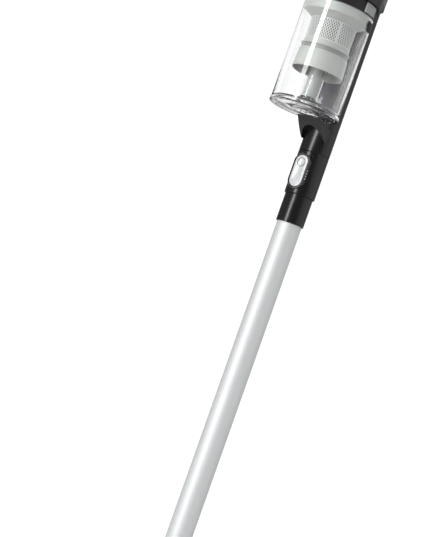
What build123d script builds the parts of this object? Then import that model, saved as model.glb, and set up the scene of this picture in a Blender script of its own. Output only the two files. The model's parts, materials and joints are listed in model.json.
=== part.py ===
"""Cordless stick vacuum cleaner, parked upright on its floor head.

The wand's axis is the Z axis, the floor is z = 0 and the dust bin faces the front, -Y.
Every block below makes one physical piece, in millimetres, where it sits on the cleaner.
"""
import math
import os

from build123d import *

os.makedirs("parts", exist_ok=True)

# ---- running and parting gaps ----
pin_gap = 0.05
slip_gap = 0.3
seam = 0.3

# ---- wand, on the Z axis ----
tube_r = 16.0
tube_wall = 1.2
collar_r = 17.8
connector_r = 19.6
tube_low = 125.2
tube_high = 652.0
collar_low = 617.7
connector_low = 654.1
connector_high = 708.8
air_bore_r = 13.5
spigot_r = 15.5
spigot_high = 735.0

# ---- dust bin, on its own upright axis in front of the wand ----
bin_y = -55.5
bin_r = 43.4
bin_wall = 1.6
lid_low = 747.5
lid_high = 752.5
case_high = 877.0
band_r = 43.4
band_high = 890.6
mesh_r = 28.2
mesh_low = 831.7
mesh_high = 857.8
flange_low = 864.5
flange_r = 41.4
skirt_low = 795.7
skirt_high = 819.4
vortex_r = 12.3
inner_tube_r = 8.6

# ---- motor housing above the bin ----
housing_r = 47.5
housing_back_r = 22.6
shell = 2.5
housing_low = 890.9
housing_high = 1000.0
cover_high = 1098.0
duct_r = 19.5
duct_wall = 2.2
duct_low = 741.1
duct_high = 904.7

# ---- handle loop and battery, behind the housing ----
grip_half = 15.0
loop_low = 1001.0
loop_high = 1098.0
gap_low = 1012.0
gap_high = 1078.0
gap_back = 62.0
battery_low = 965.0
battery_high = 1000.7
battery_front = 25.0
battery_back = 105.0
battery_half = 30.0

# ---- floor head ----
head_half = 125.0
head_front = -109.0
head_back = -24.0
head_height = 56.0
sole = 2.5
base_high = 18.0
brush_y = -58.0
brush_z = 24.0
pitch_z = 34.0
barrel_r = 22.0
barrel_half = 36.0
arm_in = 37.0
arm_out = 49.0
wheel_r = 13.0
wheel_y = 36.0
swivel_z = 84.0
drum_r = 21.0
socket_top = 145.0

# ---- buttons on the wand ----
release_z = 682.0
release_size = (41.0, 18.0)
latch_z = 166.0
latch_size = (24.0, 14.0)
lower_collar_r = 21.5


def save(piece, name):
    """Label a finished piece and write it as its own STEP file."""
    piece.part.label = name
    export_step(piece.part, f"parts/{name}.step")


def level(height, y=0.0):
    """Horizontal plane at a height, centred on the wand or on the bin axis."""
    return Plane((0, y, height))


def facing_front(y, z=0.0):
    """Upright plane across the cleaner, looking out of its front."""
    return Plane.XZ.offset(-y).shift_origin((0, y, z))


def facing_side(x, y=0.0, z=0.0):
    """Upright plane along the cleaner, looking out of its right side."""
    return Plane.YZ.offset(x).shift_origin((x, y, z))


def ring(plane, outer, inner, length, mode=Mode.ADD):
    """Straight tube or disc standing on a plane."""
    with BuildSketch(plane) as profile:
        Circle(outer)
        if inner:
            Circle(inner, mode=Mode.SUBTRACT)
    extrude(profile.sketch, amount=length, mode=mode)


def block(plane, width, height, length, mode=Mode.ADD, corner=0.0):
    """Rectangular or round-cornered bar standing on a plane."""
    with BuildSketch(plane) as profile:
        if corner:
            RectangleRounded(width, height, corner)
        else:
            Rectangle(width, height)
    extrude(profile.sketch, amount=length, mode=mode)


def capsule(plane, size, length, mode=Mode.ADD):
    """Upright bar with round ends, of the given height and width."""
    height, width = size
    with BuildSketch(plane) as profile:
        SlotOverall(height, width, rotation=90)
    extrude(profile.sketch, amount=length, mode=mode)


def coil(plane, radius, wire, height, turns):
    """Compression spring: a round wire on a helix standing on a plane."""
    with BuildLine() as path:
        Helix(height / turns, height, radius, center=plane.origin, direction=plane.z_dir)
    with BuildSketch(Plane(path.line @ 0, z_dir=path.line % 0)) as section:
        Circle(wire)
    sweep(section.sketch, path=path.line)


def housing_outline(inset):
    """Plan of the motor housing: round over the bin, narrower over the wand."""
    with Locations((0, bin_y)):
        Circle(housing_r - inset)
    Circle(housing_back_r - inset)
    make_hull()


# =============================== floor head ===============================

slot_half = 112.0
slot_front = -86.0
slot_back = -29.0
bar_middle = (head_front + head_back) / 2
bar_depth = head_back - head_front
lip_x = (slot_half + head_half) / 2
screw_r = 1.5
screw_pitch = 26.5
boss_r = 4.6
screw_head_r = 3.0
axle_r = 3.0
pitch_pin_r = 5.0
mouth_half = 20.0

# sole plate with the suction slot, its rim wall, and the two arms that carry neck and wheels
with BuildPart() as head_base:
    block(level(sole, bar_middle), 2 * head_half, bar_depth, base_high - sole, corner=8)
    with BuildSketch(level(sole + 3, bar_middle)):
        RectangleRounded(2 * head_half - 2 * shell, bar_depth - 2 * shell, 6)
    extrude(amount=base_high, mode=Mode.SUBTRACT)
    for side in (-1, 1):
        for y in (bar_middle - screw_pitch, bar_middle + screw_pitch):
            with BuildSketch(level(sole + 1)):
                with Locations((side * lip_x, y)):
                    Circle(boss_r)
            extrude(amount=base_high - sole - 1)
    block(level(0, (slot_front + slot_back) / 2), 2 * slot_half, slot_back - slot_front, 12,
          Mode.SUBTRACT)
    for side in (-1, 1):
        for y in (bar_middle - screw_pitch, bar_middle + screw_pitch):
            with BuildSketch(level(0)):
                with Locations((side * lip_x, y)):
                    Circle(screw_r + 0.1)
            extrude(amount=base_high, mode=Mode.SUBTRACT)
            with BuildSketch(level(0)):
                with Locations((side * lip_x, y)):
                    Circle(screw_head_r + 0.2)
            extrude(amount=sole + 2.1, mode=Mode.SUBTRACT)
        with BuildSketch(facing_side(side * (arm_in + arm_out) / 2)):
            with BuildLine():
                Polyline((head_back - 1, 4), (wheel_y + 4, 5), (wheel_y + 9, 12),
                         (wheel_y + 8, 20), (10, pitch_z + 10), (-8, pitch_z + 10),
                         (head_back + 1, base_high + 4), (head_back + 1, base_high),
                         (head_back - 1, base_high), close=True)
            make_face()
        extrude(amount=(arm_out - arm_in) / 2, both=True)
    ring(facing_side(-head_half, 0, pitch_z), pitch_pin_r + pin_gap, 0, 2 * head_half,
         Mode.SUBTRACT)
    ring(facing_side(-head_half, wheel_y, wheel_r), axle_r + pin_gap, 0, 2 * head_half,
         Mode.SUBTRACT)
save(head_base, "head_base")


def cover_profile(inset):
    """Side outline of the top cover, open below, with a rounded nose."""
    low = base_high + seam - (1 if inset else 0)
    front = head_front + inset
    back = head_back - inset
    top = head_height - inset
    with BuildLine() as outline:
        Line((back, low), (front, low))
        Line((front, low), (front, 30))
        RadiusArc((front, 30), (head_front + 26, top), 26 - inset / 2)
        Line((head_front + 26, top), (back - 14, top))
        Line((back - 14, top), (back, top - 12))
        Line((back, top - 12), (back, low))
    make_face(outline.edges())


# top cover of the head, a shell with the mouth that feeds the neck
with BuildPart() as head_cover:
    with BuildSketch(facing_side(0)):
        cover_profile(0)
    extrude(amount=head_half, both=True)
    fillet(head_cover.edges().filter_by(Axis.Z).group_by(Axis.Y)[0], 6)
    with BuildSketch(facing_side(0)):
        cover_profile(shell)
    extrude(amount=head_half - shell, both=True, mode=Mode.SUBTRACT)
    block(facing_front(head_back + 1, 34), 2 * mouth_half, 22, 2 * shell + 2, Mode.SUBTRACT)
    ring(facing_side(head_half - 2 * shell, brush_y, 33), 12.2, 0, 4 * shell, Mode.SUBTRACT)
save(head_cover, "head_cover")

bumper_out = 2.5
bumper_low = 8.0
bumper_tall = 9.0

# soft strip round the nose that saves the furniture
with BuildPart() as front_bumper:
    with BuildSketch(level(bumper_low, bar_middle)):
        RectangleRounded(2 * (head_half + bumper_out), bar_depth + 2 * bumper_out, 10)
        RectangleRounded(2 * head_half + 0.1, bar_depth + 0.1, 8, mode=Mode.SUBTRACT)
        with Locations((0, 22)):
            Rectangle(2.2 * head_half, bar_depth, mode=Mode.SUBTRACT)
    extrude(amount=bumper_tall)
save(front_bumper, "front_bumper")

# felt strips that the sole glides on, in front of and behind the slot
with BuildPart() as sole_felt:
    for y, depth in ((-105.0, 5.0), (-26.8, 3.6)):
        with BuildSketch(level(0)):
            with Locations((0, y)):
                RectangleRounded(2 * slot_half, depth, 1.5)
        extrude(amount=sole)
save(sole_felt, "sole_felt")

# four screws from below, all alike
with BuildPart() as head_screws:
    for x in (-lip_x, lip_x):
        for y in (bar_middle - screw_pitch, bar_middle + screw_pitch):
            with BuildSketch(level(sole + 0.1)):
                with Locations((x, y)):
                    Circle(screw_head_r)
            extrude(amount=1.9)
            with BuildSketch(level(sole + 1)):
                with Locations((x, y)):
                    Circle(screw_r)
            extrude(amount=13)
save(head_screws, "head_screws")

roll_r = 15.0
roll_wall = 2.0
roll_half = 108.0
bristle_r = 22.5
drive_x = -40.0
brush_pin_r = 4.0

# hollow brush roll with its drive web and the bearing at the far end
with BuildPart() as brush_roll:
    ring(facing_side(-roll_half, brush_y, brush_z), roll_r, roll_r - roll_wall, 2 * roll_half)
    ring(facing_side(drive_x, brush_y, brush_z), roll_r, 2.6, 4)
    ring(facing_side(roll_half - 6, brush_y, brush_z), roll_r, brush_pin_r + pin_gap, 6)
save(brush_roll, "brush_roll")

# four rows of soft bristles
with BuildPart() as brush_bristles:
    for turn in range(4):
        row = facing_side(-roll_half + 4, brush_y, brush_z)
        with BuildSketch(row):
            with PolarLocations((roll_r + bristle_r) / 2 + 0.05, 1, start_angle=45 + 90 * turn):
                Rectangle(bristle_r - roll_r, 5)
            Circle(roll_r + 0.05, mode=Mode.SUBTRACT)
        extrude(amount=2 * roll_half - 8)
save(brush_bristles, "brush_bristles")

# motor inside the roll, held by the left end wall, with its output shaft in the drive web
with BuildPart() as brush_motor:
    ring(facing_side(-head_half + shell + 0.1, brush_y, brush_z), 11.5, 0,
         drive_x + head_half - shell - 2)
    ring(facing_side(drive_x - 3, brush_y, brush_z), 2.5, 0, 9)
save(brush_motor, "brush_motor")

cap_z = 33.0
# cap at the right end, turned off to draw the roll out, with the pin that carries the roll
with BuildPart() as brush_end_cap:
    ring(facing_side(head_half - shell - 0.3, brush_y, cap_z), 12.0, 0, shell + 0.5)
    ring(facing_side(head_half, brush_y, cap_z), 14.0, 0, 1.6)
    block(facing_side(head_half + 1.6, brush_y, cap_z), 18, 3, 1.0)
    ring(facing_side(roll_half - 8, brush_y, brush_z), brush_pin_r, 0,
         head_half - shell - roll_half + 7.9)
    ring(facing_side(roll_half + 0.5, brush_y, brush_z), 7, 0,
         head_half - shell - roll_half - 0.6)
save(brush_end_cap, "brush_end_cap")

wheel_in = arm_out + 1.0
wheel_wide = 11.0
for side, word in ((-1, "left"), (1, "right")):
    outward = Plane((0, wheel_y, wheel_r), x_dir=(0, 1, 0), z_dir=(side, 0, 0))
    # rear wheel with a rounded tread
    with BuildPart() as wheel:
        ring(outward.offset(wheel_in), wheel_r, axle_r + pin_gap, wheel_wide)
        fillet(wheel.edges().filter_by(GeomType.CIRCLE).sort_by(SortBy.RADIUS)[-2:], 2.5)
        ring(outward.offset(wheel_in + wheel_wide - 2), 8, 5, 2, Mode.SUBTRACT)
    save(wheel, f"rear_wheel_{word}")

# axles of the rear wheels, headed on the outside, both alike
with BuildPart() as wheel_axles:
    for side in (-1, 1):
        outward = Plane((0, wheel_y, wheel_r), x_dir=(0, 1, 0), z_dir=(side, 0, 0))
        ring(outward.offset(arm_in), axle_r, 0, wheel_in + wheel_wide + 0.4 - arm_in)
        ring(outward.offset(wheel_in + wheel_wide + 0.4), axle_r + 1.6, 0, 1.2)
save(wheel_axles, "wheel_axles")

neck_r = 18.5
neck_bore_r = 14.5

# neck: a barrel that pitches between the arms, and the drum that the wand rolls on
with BuildPart() as neck_yoke:
    ring(facing_side(-barrel_half, 0, pitch_z), barrel_r, 0, 2 * barrel_half)
    ring(level(pitch_z), neck_r, 0, swivel_z - pitch_z)
    ring(facing_front(drum_r, swivel_z), drum_r, 0, 2 * drum_r)
    ring(facing_side(4 - barrel_half, 0, pitch_z), neck_r, 0, 2 * barrel_half - 8, Mode.SUBTRACT)
    ring(level(pitch_z), neck_bore_r, 0, swivel_z, Mode.SUBTRACT)
    block(facing_front(-10, pitch_z), 2 * mouth_half, 24, 20, Mode.SUBTRACT)
    ring(facing_side(-barrel_half - 1, 0, pitch_z), pitch_pin_r + pin_gap, 0,
         2 * barrel_half + 2, Mode.SUBTRACT)
    ring(facing_front(drum_r + 1, swivel_z), pitch_pin_r + pin_gap, 0, 2 * drum_r + 2,
         Mode.SUBTRACT)
save(neck_yoke, "neck_yoke")

# two trunnion pins from the arms into the barrel
with BuildPart() as pitch_pins:
    for side in (-1, 1):
        outward = Plane((0, 0, pitch_z), x_dir=(0, 1, 0), z_dir=(side, 0, 0))
        ring(outward.offset(barrel_half - 4), pitch_pin_r, 0, arm_out - barrel_half + 4)
        ring(outward.offset(arm_out + 0.1), pitch_pin_r + 2, 0, 1.5)
        ring(outward.offset(arm_out - 1), pitch_pin_r, 0, 2)
save(pitch_pins, "pitch_pins")

socket_r = 22.0
cheek = 5.4
spigot_low = 111.0
spigot_out = 17.6

# socket that takes the wand, with two cheeks that straddle the drum
with BuildPart() as wand_socket:
    ring(level(swivel_z + 12), socket_r, 0, socket_top - swivel_z - 12)
    block(level(swivel_z, 0), 30, 2 * (drum_r + cheek), 20, corner=4)
    ring(facing_front(drum_r + cheek, swivel_z), 15, 0, 2 * (drum_r + cheek))
    ring(facing_front(drum_r + 0.4, swivel_z), drum_r + 0.6, 0, 2 * drum_r + 0.8, Mode.SUBTRACT)
    ring(level(spigot_low - 1), spigot_out + slip_gap, 0, 50, Mode.SUBTRACT)
    ring(level(swivel_z), neck_bore_r, 0, 40, Mode.SUBTRACT)
    ring(facing_front(drum_r + cheek + 1, swivel_z), pitch_pin_r + pin_gap, 0,
         2 * (drum_r + cheek) + 2, Mode.SUBTRACT)
save(wand_socket, "wand_socket")

# two pins that the socket rolls on
with BuildPart() as swivel_pins:
    for side in (-1, 1):
        outward = Plane((0, 0, swivel_z), x_dir=(1, 0, 0), z_dir=(0, side, 0))
        ring(outward.offset(neck_bore_r + 1.5), pitch_pin_r, 0,
             drum_r + cheek - neck_bore_r - 1.5)
save(swivel_pins, "swivel_pins")

# ================================== wand ==================================

# drawn aluminium tube
with BuildPart() as wand_tube:
    ring(level(tube_low), tube_r, tube_r - tube_wall, tube_high - tube_low)
save(wand_tube, "wand_tube")

# lead to the floor head, in its own conduit inside the back of the tube
with BuildPart() as wand_conduit:
    ring(level(tube_low + 1, tube_r - tube_wall - 1.7), 1.5, 0, tube_high - tube_low - 2)
save(wand_conduit, "wand_conduit")


def on_barrel(outer, inner, low, high):
    """Keep only what lies in a ring about the wand, so that a face follows its curve."""
    ring(level(low), outer, inner, high - low, Mode.INTERSECT)


latch_proud = 1.6
latch_floor = 18.6
# space behind the lower button
with BuildPart() as latch_pocket:
    capsule(facing_front(0, latch_z), (latch_size[0] + 0.8, latch_size[1] + 0.8), 30)
    on_barrel(40, latch_floor - 1.6, latch_z - 20, latch_z + 20)

# lower end fitting: spigot for the floor head and a collar for its latch
with BuildPart() as lower_collar:
    ring(level(spigot_low), spigot_out, 0, socket_top - spigot_low + 1)
    ring(level(socket_top + seam), lower_collar_r, 0, 42)
    chamfer(lower_collar.edges().group_by(Axis.Z)[-1], 3.5)
    ring(level(tube_low - 0.2), tube_r + pin_gap, 0, 80, Mode.SUBTRACT)
    ring(level(spigot_low), air_bore_r, 0, 80, Mode.SUBTRACT)
    add(latch_pocket.part, mode=Mode.SUBTRACT)
save(lower_collar, "lower_collar")

# push button that frees the floor head
with BuildPart() as head_latch_button:
    capsule(facing_front(0, latch_z), latch_size, 30)
    on_barrel(lower_collar_r + latch_proud, latch_floor + 1.6, latch_z - 20, latch_z + 20)
save(head_latch_button, "head_latch_button")

# ring that closes the top end of the tube
with BuildPart() as wand_collar:
    ring(level(collar_low), collar_r, tube_r + pin_gap, connector_low - collar_low)
    chamfer(wand_collar.edges().group_by(Axis.Z)[0].sort_by(SortBy.RADIUS)[-1:], 0.6)
save(wand_collar, "wand_collar")

release_face = -22.6
bezel_face = -21.6
bezel_size = (45.5, 22.0)
pocket_r = 16.9
button_back = 18.3
contact_r = 17.6

# space behind the release button and its frame
with BuildPart() as release_pocket:
    capsule(facing_front(0, release_z), bezel_size, 30)
    on_barrel(40, pocket_r, release_z - 30, release_z + 30)

# connector with the release button's pocket and the spigot that enters the cleaner
with BuildPart() as wand_connector:
    ring(level(connector_low + 0.02), connector_r, 0, connector_high - connector_low)
    fillet(wand_connector.edges().group_by(Axis.Z)[0], 1.0)
    fillet(wand_connector.edges().group_by(Axis.Z)[-1], 0.6)
    ring(level(connector_high - 1), spigot_r, 0, spigot_high - connector_high + 1)
    ring(level(connector_low), air_bore_r, 0, 100, Mode.SUBTRACT)
    add(release_pocket.part, mode=Mode.SUBTRACT)
save(wand_connector, "wand_connector")

# frame round the release button
with BuildPart() as button_bezel:
    capsule(facing_front(0, release_z), (bezel_size[0] - 0.1, bezel_size[1] - 0.1), -bezel_face)
    capsule(facing_front(0, release_z), (release_size[0] + 1.0, release_size[1] + 1.0), 30,
            Mode.SUBTRACT)
    ring(level(release_z - 30), pocket_r + 0.02, 0, 60, Mode.SUBTRACT)
save(button_bezel, "button_bezel")

# silver release button, pressed in to part the wand from the cleaner
with BuildPart() as release_button:
    capsule(facing_front(0, release_z), release_size, -release_face)
    ring(level(release_z - 30), button_back + 0.8, 0, 60, Mode.SUBTRACT)
save(release_button, "release_button")

spring_r = 3.0
spring_wire = 0.3
# springs behind the two wand buttons
for name, z, back, front in (("release_spring", release_z, pocket_r, button_back + 0.8),
                             ("head_latch_spring", latch_z, latch_floor - 1.6,
                              latch_floor + 1.6)):
    with BuildPart() as spring:
        coil(facing_front(-back - spring_wire - 0.1, z), spring_r, spring_wire,
             front - back - 4 * spring_wire - 0.2, 1.5)
    save(spring, name)

# two sprung contacts that carry power across the joint
with BuildPart() as contact_pins:
    for x in (-4.0, 4.0):
        with BuildSketch(level(connector_high + 0.05)):
            with Locations((x, math.sqrt(contact_r ** 2 - x ** 2))):
                Circle(0.9)
        extrude(amount=5)
save(contact_pins, "contact_pins")

# ============================ cleaner: inlet and duct ============================

inlet_low = connector_high + seam
inlet_high = 741.0
chin_half = 17.0
chin_front = -39.5
chin_root = -2.0
chin_top_root = -14.2
chin_foot = (-15.1, 724.0)
chin_tip_high = 746.0
chin_high = lid_low - 0.8
chin_bow = 145.0
arch_r = 15.5
arch_z = 722.5

# hooded chin that braces the inlet under the bin, arched over the inlet's front
with BuildPart() as chin:
    with BuildSketch(facing_side(-chin_half)):
        with BuildLine():
            Line((chin_top_root, chin_high), (chin_front, chin_high))
            Line((chin_front, chin_high), (chin_front, chin_tip_high))
            RadiusArc((chin_front, chin_tip_high), chin_foot, -chin_bow)
            Polyline(chin_foot, (chin_root, chin_foot[1]), (chin_root, inlet_high),
                     (chin_top_root, inlet_high), (chin_top_root, chin_high))
        make_face()
    extrude(amount=2 * chin_half)
    ring(facing_front(0, arch_z), arch_r, 0, -chin_front + 1, Mode.SUBTRACT)

# inlet socket with its chin
with BuildPart() as inlet_socket:
    ring(level(inlet_low), connector_r, 0, inlet_high - inlet_low)
    fillet(inlet_socket.edges().group_by(Axis.Z)[-1], 0.3)
    fillet(inlet_socket.edges().group_by(Axis.Z)[0], 0.6)
    add(chin.part)
    ring(level(inlet_low - 1), spigot_r + slip_gap, 0, spigot_high - inlet_low + 2,
         Mode.SUBTRACT)
    ring(level(inlet_low), air_bore_r, 0, 60, Mode.SUBTRACT)
    for x in (-4.0, 4.0):
        with BuildSketch(level(inlet_low - 1)):
            with Locations((x, math.sqrt(contact_r ** 2 - x ** 2))):
                Circle(1.3)
        extrude(amount=8, mode=Mode.SUBTRACT)
save(inlet_socket, "inlet_socket")

bin_berth = 44.8
wall_back = 47.0
window_low = 838.0
window_high = 863.0

# duct cover: the rounded back of the air duct, from the inlet up to the motor housing
with BuildPart() as duct_cover:
    with BuildSketch(level(duct_low)):
        Circle(duct_r)
        Circle(duct_r - duct_wall, mode=Mode.SUBTRACT)
        with Locations((0, bin_y)):
            Circle(bin_berth, mode=Mode.SUBTRACT)
    extrude(amount=duct_high - duct_low)
save(duct_cover, "duct_cover")

# duct front wall, curved to nurse the bin, with the window that feeds it
with BuildPart() as duct_front_wall:
    with BuildSketch(level(duct_low)):
        with Locations((0, bin_y)):
            Circle(wall_back)
            Circle(bin_berth, mode=Mode.SUBTRACT)
        Circle(duct_r - duct_wall - 0.05, mode=Mode.INTERSECT)
    extrude(amount=duct_high - duct_low)
    block(facing_front(0, (window_low + window_high) / 2), 18, window_high - window_low, 20,
          Mode.SUBTRACT)
save(duct_front_wall, "duct_front_wall")

# ============================ cleaner: motor housing ============================

eye_r = 30.0
rear_low = duct_high + seam
# lower housing shell round the motor, higher at the rear where the duct ends under it
with BuildPart() as motor_housing:
    with BuildSketch(level(rear_low)):
        housing_outline(0)
    extrude(amount=housing_high - rear_low)
    ring(level(housing_low, bin_y), housing_r, 0, rear_low - housing_low + 1)
    chamfer(motor_housing.edges().group_by(Axis.Z)[0], 0.8)
    with BuildSketch(level(rear_low + shell)):
        housing_outline(shell)
    extrude(amount=housing_high, mode=Mode.SUBTRACT)
    ring(level(housing_low + shell, bin_y), housing_r - shell, 0, rear_low - housing_low,
         Mode.SUBTRACT)
    ring(level(housing_low - 1), duct_r + seam, 0, rear_low - housing_low + 1, Mode.SUBTRACT)
    ring(level(housing_low - 1, bin_y), eye_r, 0, 10, Mode.SUBTRACT)
save(motor_housing, "motor_housing")

cap_r = 32.0
# upper housing shell, closed above except for the filter's mouth
with BuildPart() as top_cover:
    with BuildSketch(level(housing_high + seam)):
        housing_outline(0)
    extrude(amount=cover_high - housing_high - seam)
    fillet(top_cover.edges().group_by(Axis.Z)[-1], 7)
    with BuildSketch(level(housing_high)):
        housing_outline(shell)
    extrude(amount=cover_high - housing_high - shell, mode=Mode.SUBTRACT)
    ring(level(cover_high - 20, bin_y), cap_r + 0.5, 0, 40, Mode.SUBTRACT)
save(top_cover, "top_cover")

filter_low = 1044.0
skirt_deep = 18.0
vent_r = 22.0
# twist-off cap over the filter, with outlet vents and a finger bar
with BuildPart() as filter_cap:
    ring(level(cover_high - skirt_deep, bin_y), cap_r, cap_r - 3, skirt_deep)
    ring(level(cover_high + 0.3, bin_y), cap_r + 4, 0, 3.2)
    ring(level(cover_high - 1, bin_y), cap_r, cap_r - 3, 2)
    chamfer(filter_cap.edges().group_by(Axis.Z)[-1], 1.2)
    with BuildSketch(level(cover_high, bin_y)):
        with PolarLocations(vent_r, 20):
            SlotOverall(12, 3)
    extrude(amount=6, mode=Mode.SUBTRACT)
    block(level(cover_high + 3.4, bin_y), 22, 6, 4, corner=2.5)
save(filter_cap, "filter_cap")

# outlet filter held in the cap
with BuildPart() as outlet_filter:
    ring(level(filter_low, bin_y), cap_r - 3.2, 13, cover_high + 0.2 - filter_low)
save(outlet_filter, "outlet_filter")

motor_low = 928.0
motor_high = 980.0
motor_r = 27.0
shaft_r = 2.5
# fan motor
with BuildPart() as fan_motor:
    ring(level(motor_low, bin_y), motor_r, 0, motor_high - motor_low)
    fillet(fan_motor.edges().group_by(Axis.Z)[-1], 4)
    ring(level(motor_low - 1, bin_y), shaft_r + pin_gap, 0, 30, Mode.SUBTRACT)
save(fan_motor, "fan_motor")

# rubber ring that floats the motor in the housing
with BuildPart() as motor_mount:
    ring(level(946, bin_y), housing_r - shell - 0.2, motor_r + 0.1, 8)
save(motor_mount, "motor_mount")

fan_low = 902.0
blade_count = 9
# fan wheel on the motor's shaft
with BuildPart() as impeller:
    ring(level(fan_low + 16, bin_y), 25, 0, 2)
    ring(level(fan_low, bin_y), 8, 0, 17)
    ring(level(fan_low + 17, bin_y), shaft_r, 0, 34)
    with BuildSketch(level(fan_low + 4, bin_y)):
        with PolarLocations(15.5, blade_count):
            Rectangle(18, 1.4, rotation=35)
    extrude(amount=13)
save(impeller, "impeller")

# control board behind the motor
with BuildPart() as control_board:
    block(facing_front(4, 952), 26, 56, 1.6)
    block(facing_front(2.3, 962), 8, 8, 2)
    block(facing_front(2.3, 938), 12, 6, 3)
save(control_board, "control_board")

# ================================ handle ================================

loop_front = 8.0
grip_low_back = 104.0
grip_high_back = 96.0
trigger_z = 1046.0
trigger_tall = 26.0
trigger_half = 8.0
trigger_slot_back = 76.0
mode_y = 42.0
mode_r = 7.0
handle_bolts = ((90.0, loop_low + 11.0), (84.0, loop_high - 12.0), (36.0, gap_high + 6.5))


def loop_outline(inset):
    """Side outline of the handle loop, open towards the housing, wall inset inwards."""
    with BuildLine() as outline:
        Polyline((loop_front, loop_low + inset), (96 - inset, loop_low + inset),
                 (grip_low_back - inset, loop_low + 12), (grip_high_back - inset, loop_high - 14),
                 (84 - inset / 2, loop_high - inset), (loop_front, loop_high - inset),
                 (loop_front, gap_high + inset), (gap_back + inset, gap_high + inset),
                 (gap_back + inset, gap_low - inset), (loop_front, gap_low - inset), close=True)
    make_face(outline.edges())


for side, word in ((-1, "left"), (1, "right")):
    # one half of the handle loop, a shell that meets the other on the middle plane
    outward = Plane((0, 0, 0), x_dir=(0, 1, 0), z_dir=(1, 0, 0))
    reach = side * (grip_half - 0.05)
    with BuildPart() as handle_half:
        with BuildSketch(outward.offset(side * 0.05)):
            loop_outline(0)
        extrude(amount=reach)
        outer_rim = handle_half.edges().group_by(Axis.X)[0 if side < 0 else -1]
        fillet(outer_rim, 5)
        with BuildSketch(outward):
            loop_outline(shell)
        extrude(amount=reach - side * shell, mode=Mode.SUBTRACT)
        with BuildSketch(level(loop_low - 1)):
            housing_outline(-0.3)
        extrude(amount=120, mode=Mode.SUBTRACT)
        block(facing_front(trigger_slot_back, trigger_z), 2 * trigger_half + 1,
              trigger_tall + 1, trigger_slot_back - gap_back + 6, Mode.SUBTRACT)
        with BuildSketch(level(loop_high - 10)):
            with Locations((0, mode_y)):
                Circle(mode_r + 0.4)
        extrude(amount=20, mode=Mode.SUBTRACT)
        with BuildSketch(outward):
            with Locations(*handle_bolts):
                Circle(1.7)
        extrude(amount=reach * 2, mode=Mode.SUBTRACT)
    save(handle_half, f"handle_{word}")

# three screws that close the handle, all alike
with BuildPart() as handle_screws:
    for y, z in handle_bolts:
        ring(facing_side(-grip_half + 1.5, y, z), 1.6, 0, 2 * grip_half - 3)
save(handle_screws, "handle_screws")

# soft pad along the back of the grip
with BuildPart() as grip_pad:
    with BuildSketch(facing_side(-10)):
        with BuildLine():
            Polyline((grip_low_back + 0.1, loop_low + 14), (grip_low_back + 2.3, loop_low + 16),
                     (grip_high_back + 2.8, loop_high - 20),
                     (grip_high_back + 0.7, loop_high - 18), close=True)
        make_face()
    extrude(amount=20)
save(grip_pad, "grip_pad")

# trigger in the front of the grip
with BuildPart() as trigger:
    block(facing_front(trigger_slot_back - 7, trigger_z), 2 * trigger_half, trigger_tall, 17,
          corner=2)
    chamfer(trigger.edges().group_by(Axis.Y)[0], 1.5)
save(trigger, "trigger")

# spring behind the trigger
with BuildPart() as trigger_spring:
    coil(facing_front(trigger_slot_back - 0.5, trigger_z), spring_r, spring_wire, 5.9, 4)
save(trigger_spring, "trigger_spring")

# power-level button on top of the handle
with BuildPart() as mode_button:
    ring(level(loop_high - 9, mode_y), mode_r, 0, 11)
    chamfer(mode_button.edges().group_by(Axis.Z)[-1], 1.0)
save(mode_button, "mode_button")

# ================================ battery ================================

battery_mid = (battery_front + battery_back) / 2
battery_deep = battery_back - battery_front
port_x = 20.0
latch_row = battery_low + 21.0
port_r = 2.75
port_deep = 9.0
cell_r = 9.0
cell_long = 65.0

# battery case, a closed shell with wells for its latch and its charging inlet
with BuildPart() as battery_case:
    block(level(battery_low, battery_mid), 2 * battery_half, battery_deep,
          battery_high - battery_low, corner=9)
    fillet(battery_case.edges().group_by(Axis.Z)[0], 3)
    block(level(battery_low + shell, battery_mid), 2 * (battery_half - shell),
          battery_deep - 2 * shell, battery_high - battery_low - 2 * shell, Mode.SUBTRACT)
    block(facing_front(battery_back + 1, latch_row), 20.8, 14.8, 6, Mode.SUBTRACT)
    with BuildSketch(facing_front(battery_back + 1, latch_row)):
        with Locations((port_x, 0)):
            Circle(5.6)
    extrude(amount=6, mode=Mode.SUBTRACT)
save(battery_case, "battery_case")

# three cells side by side
with BuildPart() as battery_cells:
    for x in (-18.3, 0, 18.3):
        with BuildSketch(facing_front(battery_front + 4 + cell_long, battery_low + 12.2)):
            with Locations((x, 0)):
                Circle(cell_r)
        extrude(amount=cell_long)
save(battery_cells, "battery_cells")

# latch in the back of the battery, pressed in to free it
with BuildPart() as battery_latch:
    block(facing_front(battery_back + 0.9, latch_row), 20, 14, 2.4, corner=2)
    with BuildSketch(facing_front(battery_back + 1.5, latch_row)):
        with GridLocations(4, 1, 4, 1):
            Rectangle(1.6, 10)
    extrude(amount=0.8)
save(battery_latch, "battery_latch")

# charging inlet in the back of the battery
with BuildPart() as charge_port:
    with BuildSketch(facing_front(battery_back + 0.4, latch_row)):
        with Locations((port_x, 0)):
            Circle(5.5)
    extrude(amount=port_deep + 2)
    with BuildSketch(facing_front(battery_back + 0.4, latch_row)):
        with Locations((port_x, 0)):
            Circle(port_r)
    extrude(amount=port_deep, mode=Mode.SUBTRACT)
save(charge_port, "charge_port")

# ================================ dust bin ================================

# clear case with the window that meets the duct
with BuildPart() as bin_case:
    ring(level(lid_high + seam, bin_y), bin_r, bin_r - bin_wall, case_high - lid_high - seam)
    block(facing_front(0, (window_low + window_high) / 2), 18, window_high - window_low, 30,
          Mode.SUBTRACT)
save(bin_case, "bin_case")

# band that closes the top of the bin and holds the foam filter
with BuildPart() as bin_collar:
    ring(level(case_high + 0.2, bin_y), band_r, bin_r - bin_wall - 1, band_high - case_high - 0.2)
save(bin_collar, "bin_collar")

tab_low = 877.8
tab_high = 889.8
tab_wide = 20.0
tab_y = bin_y - 2.3
tab_thick = 1.6
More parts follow.
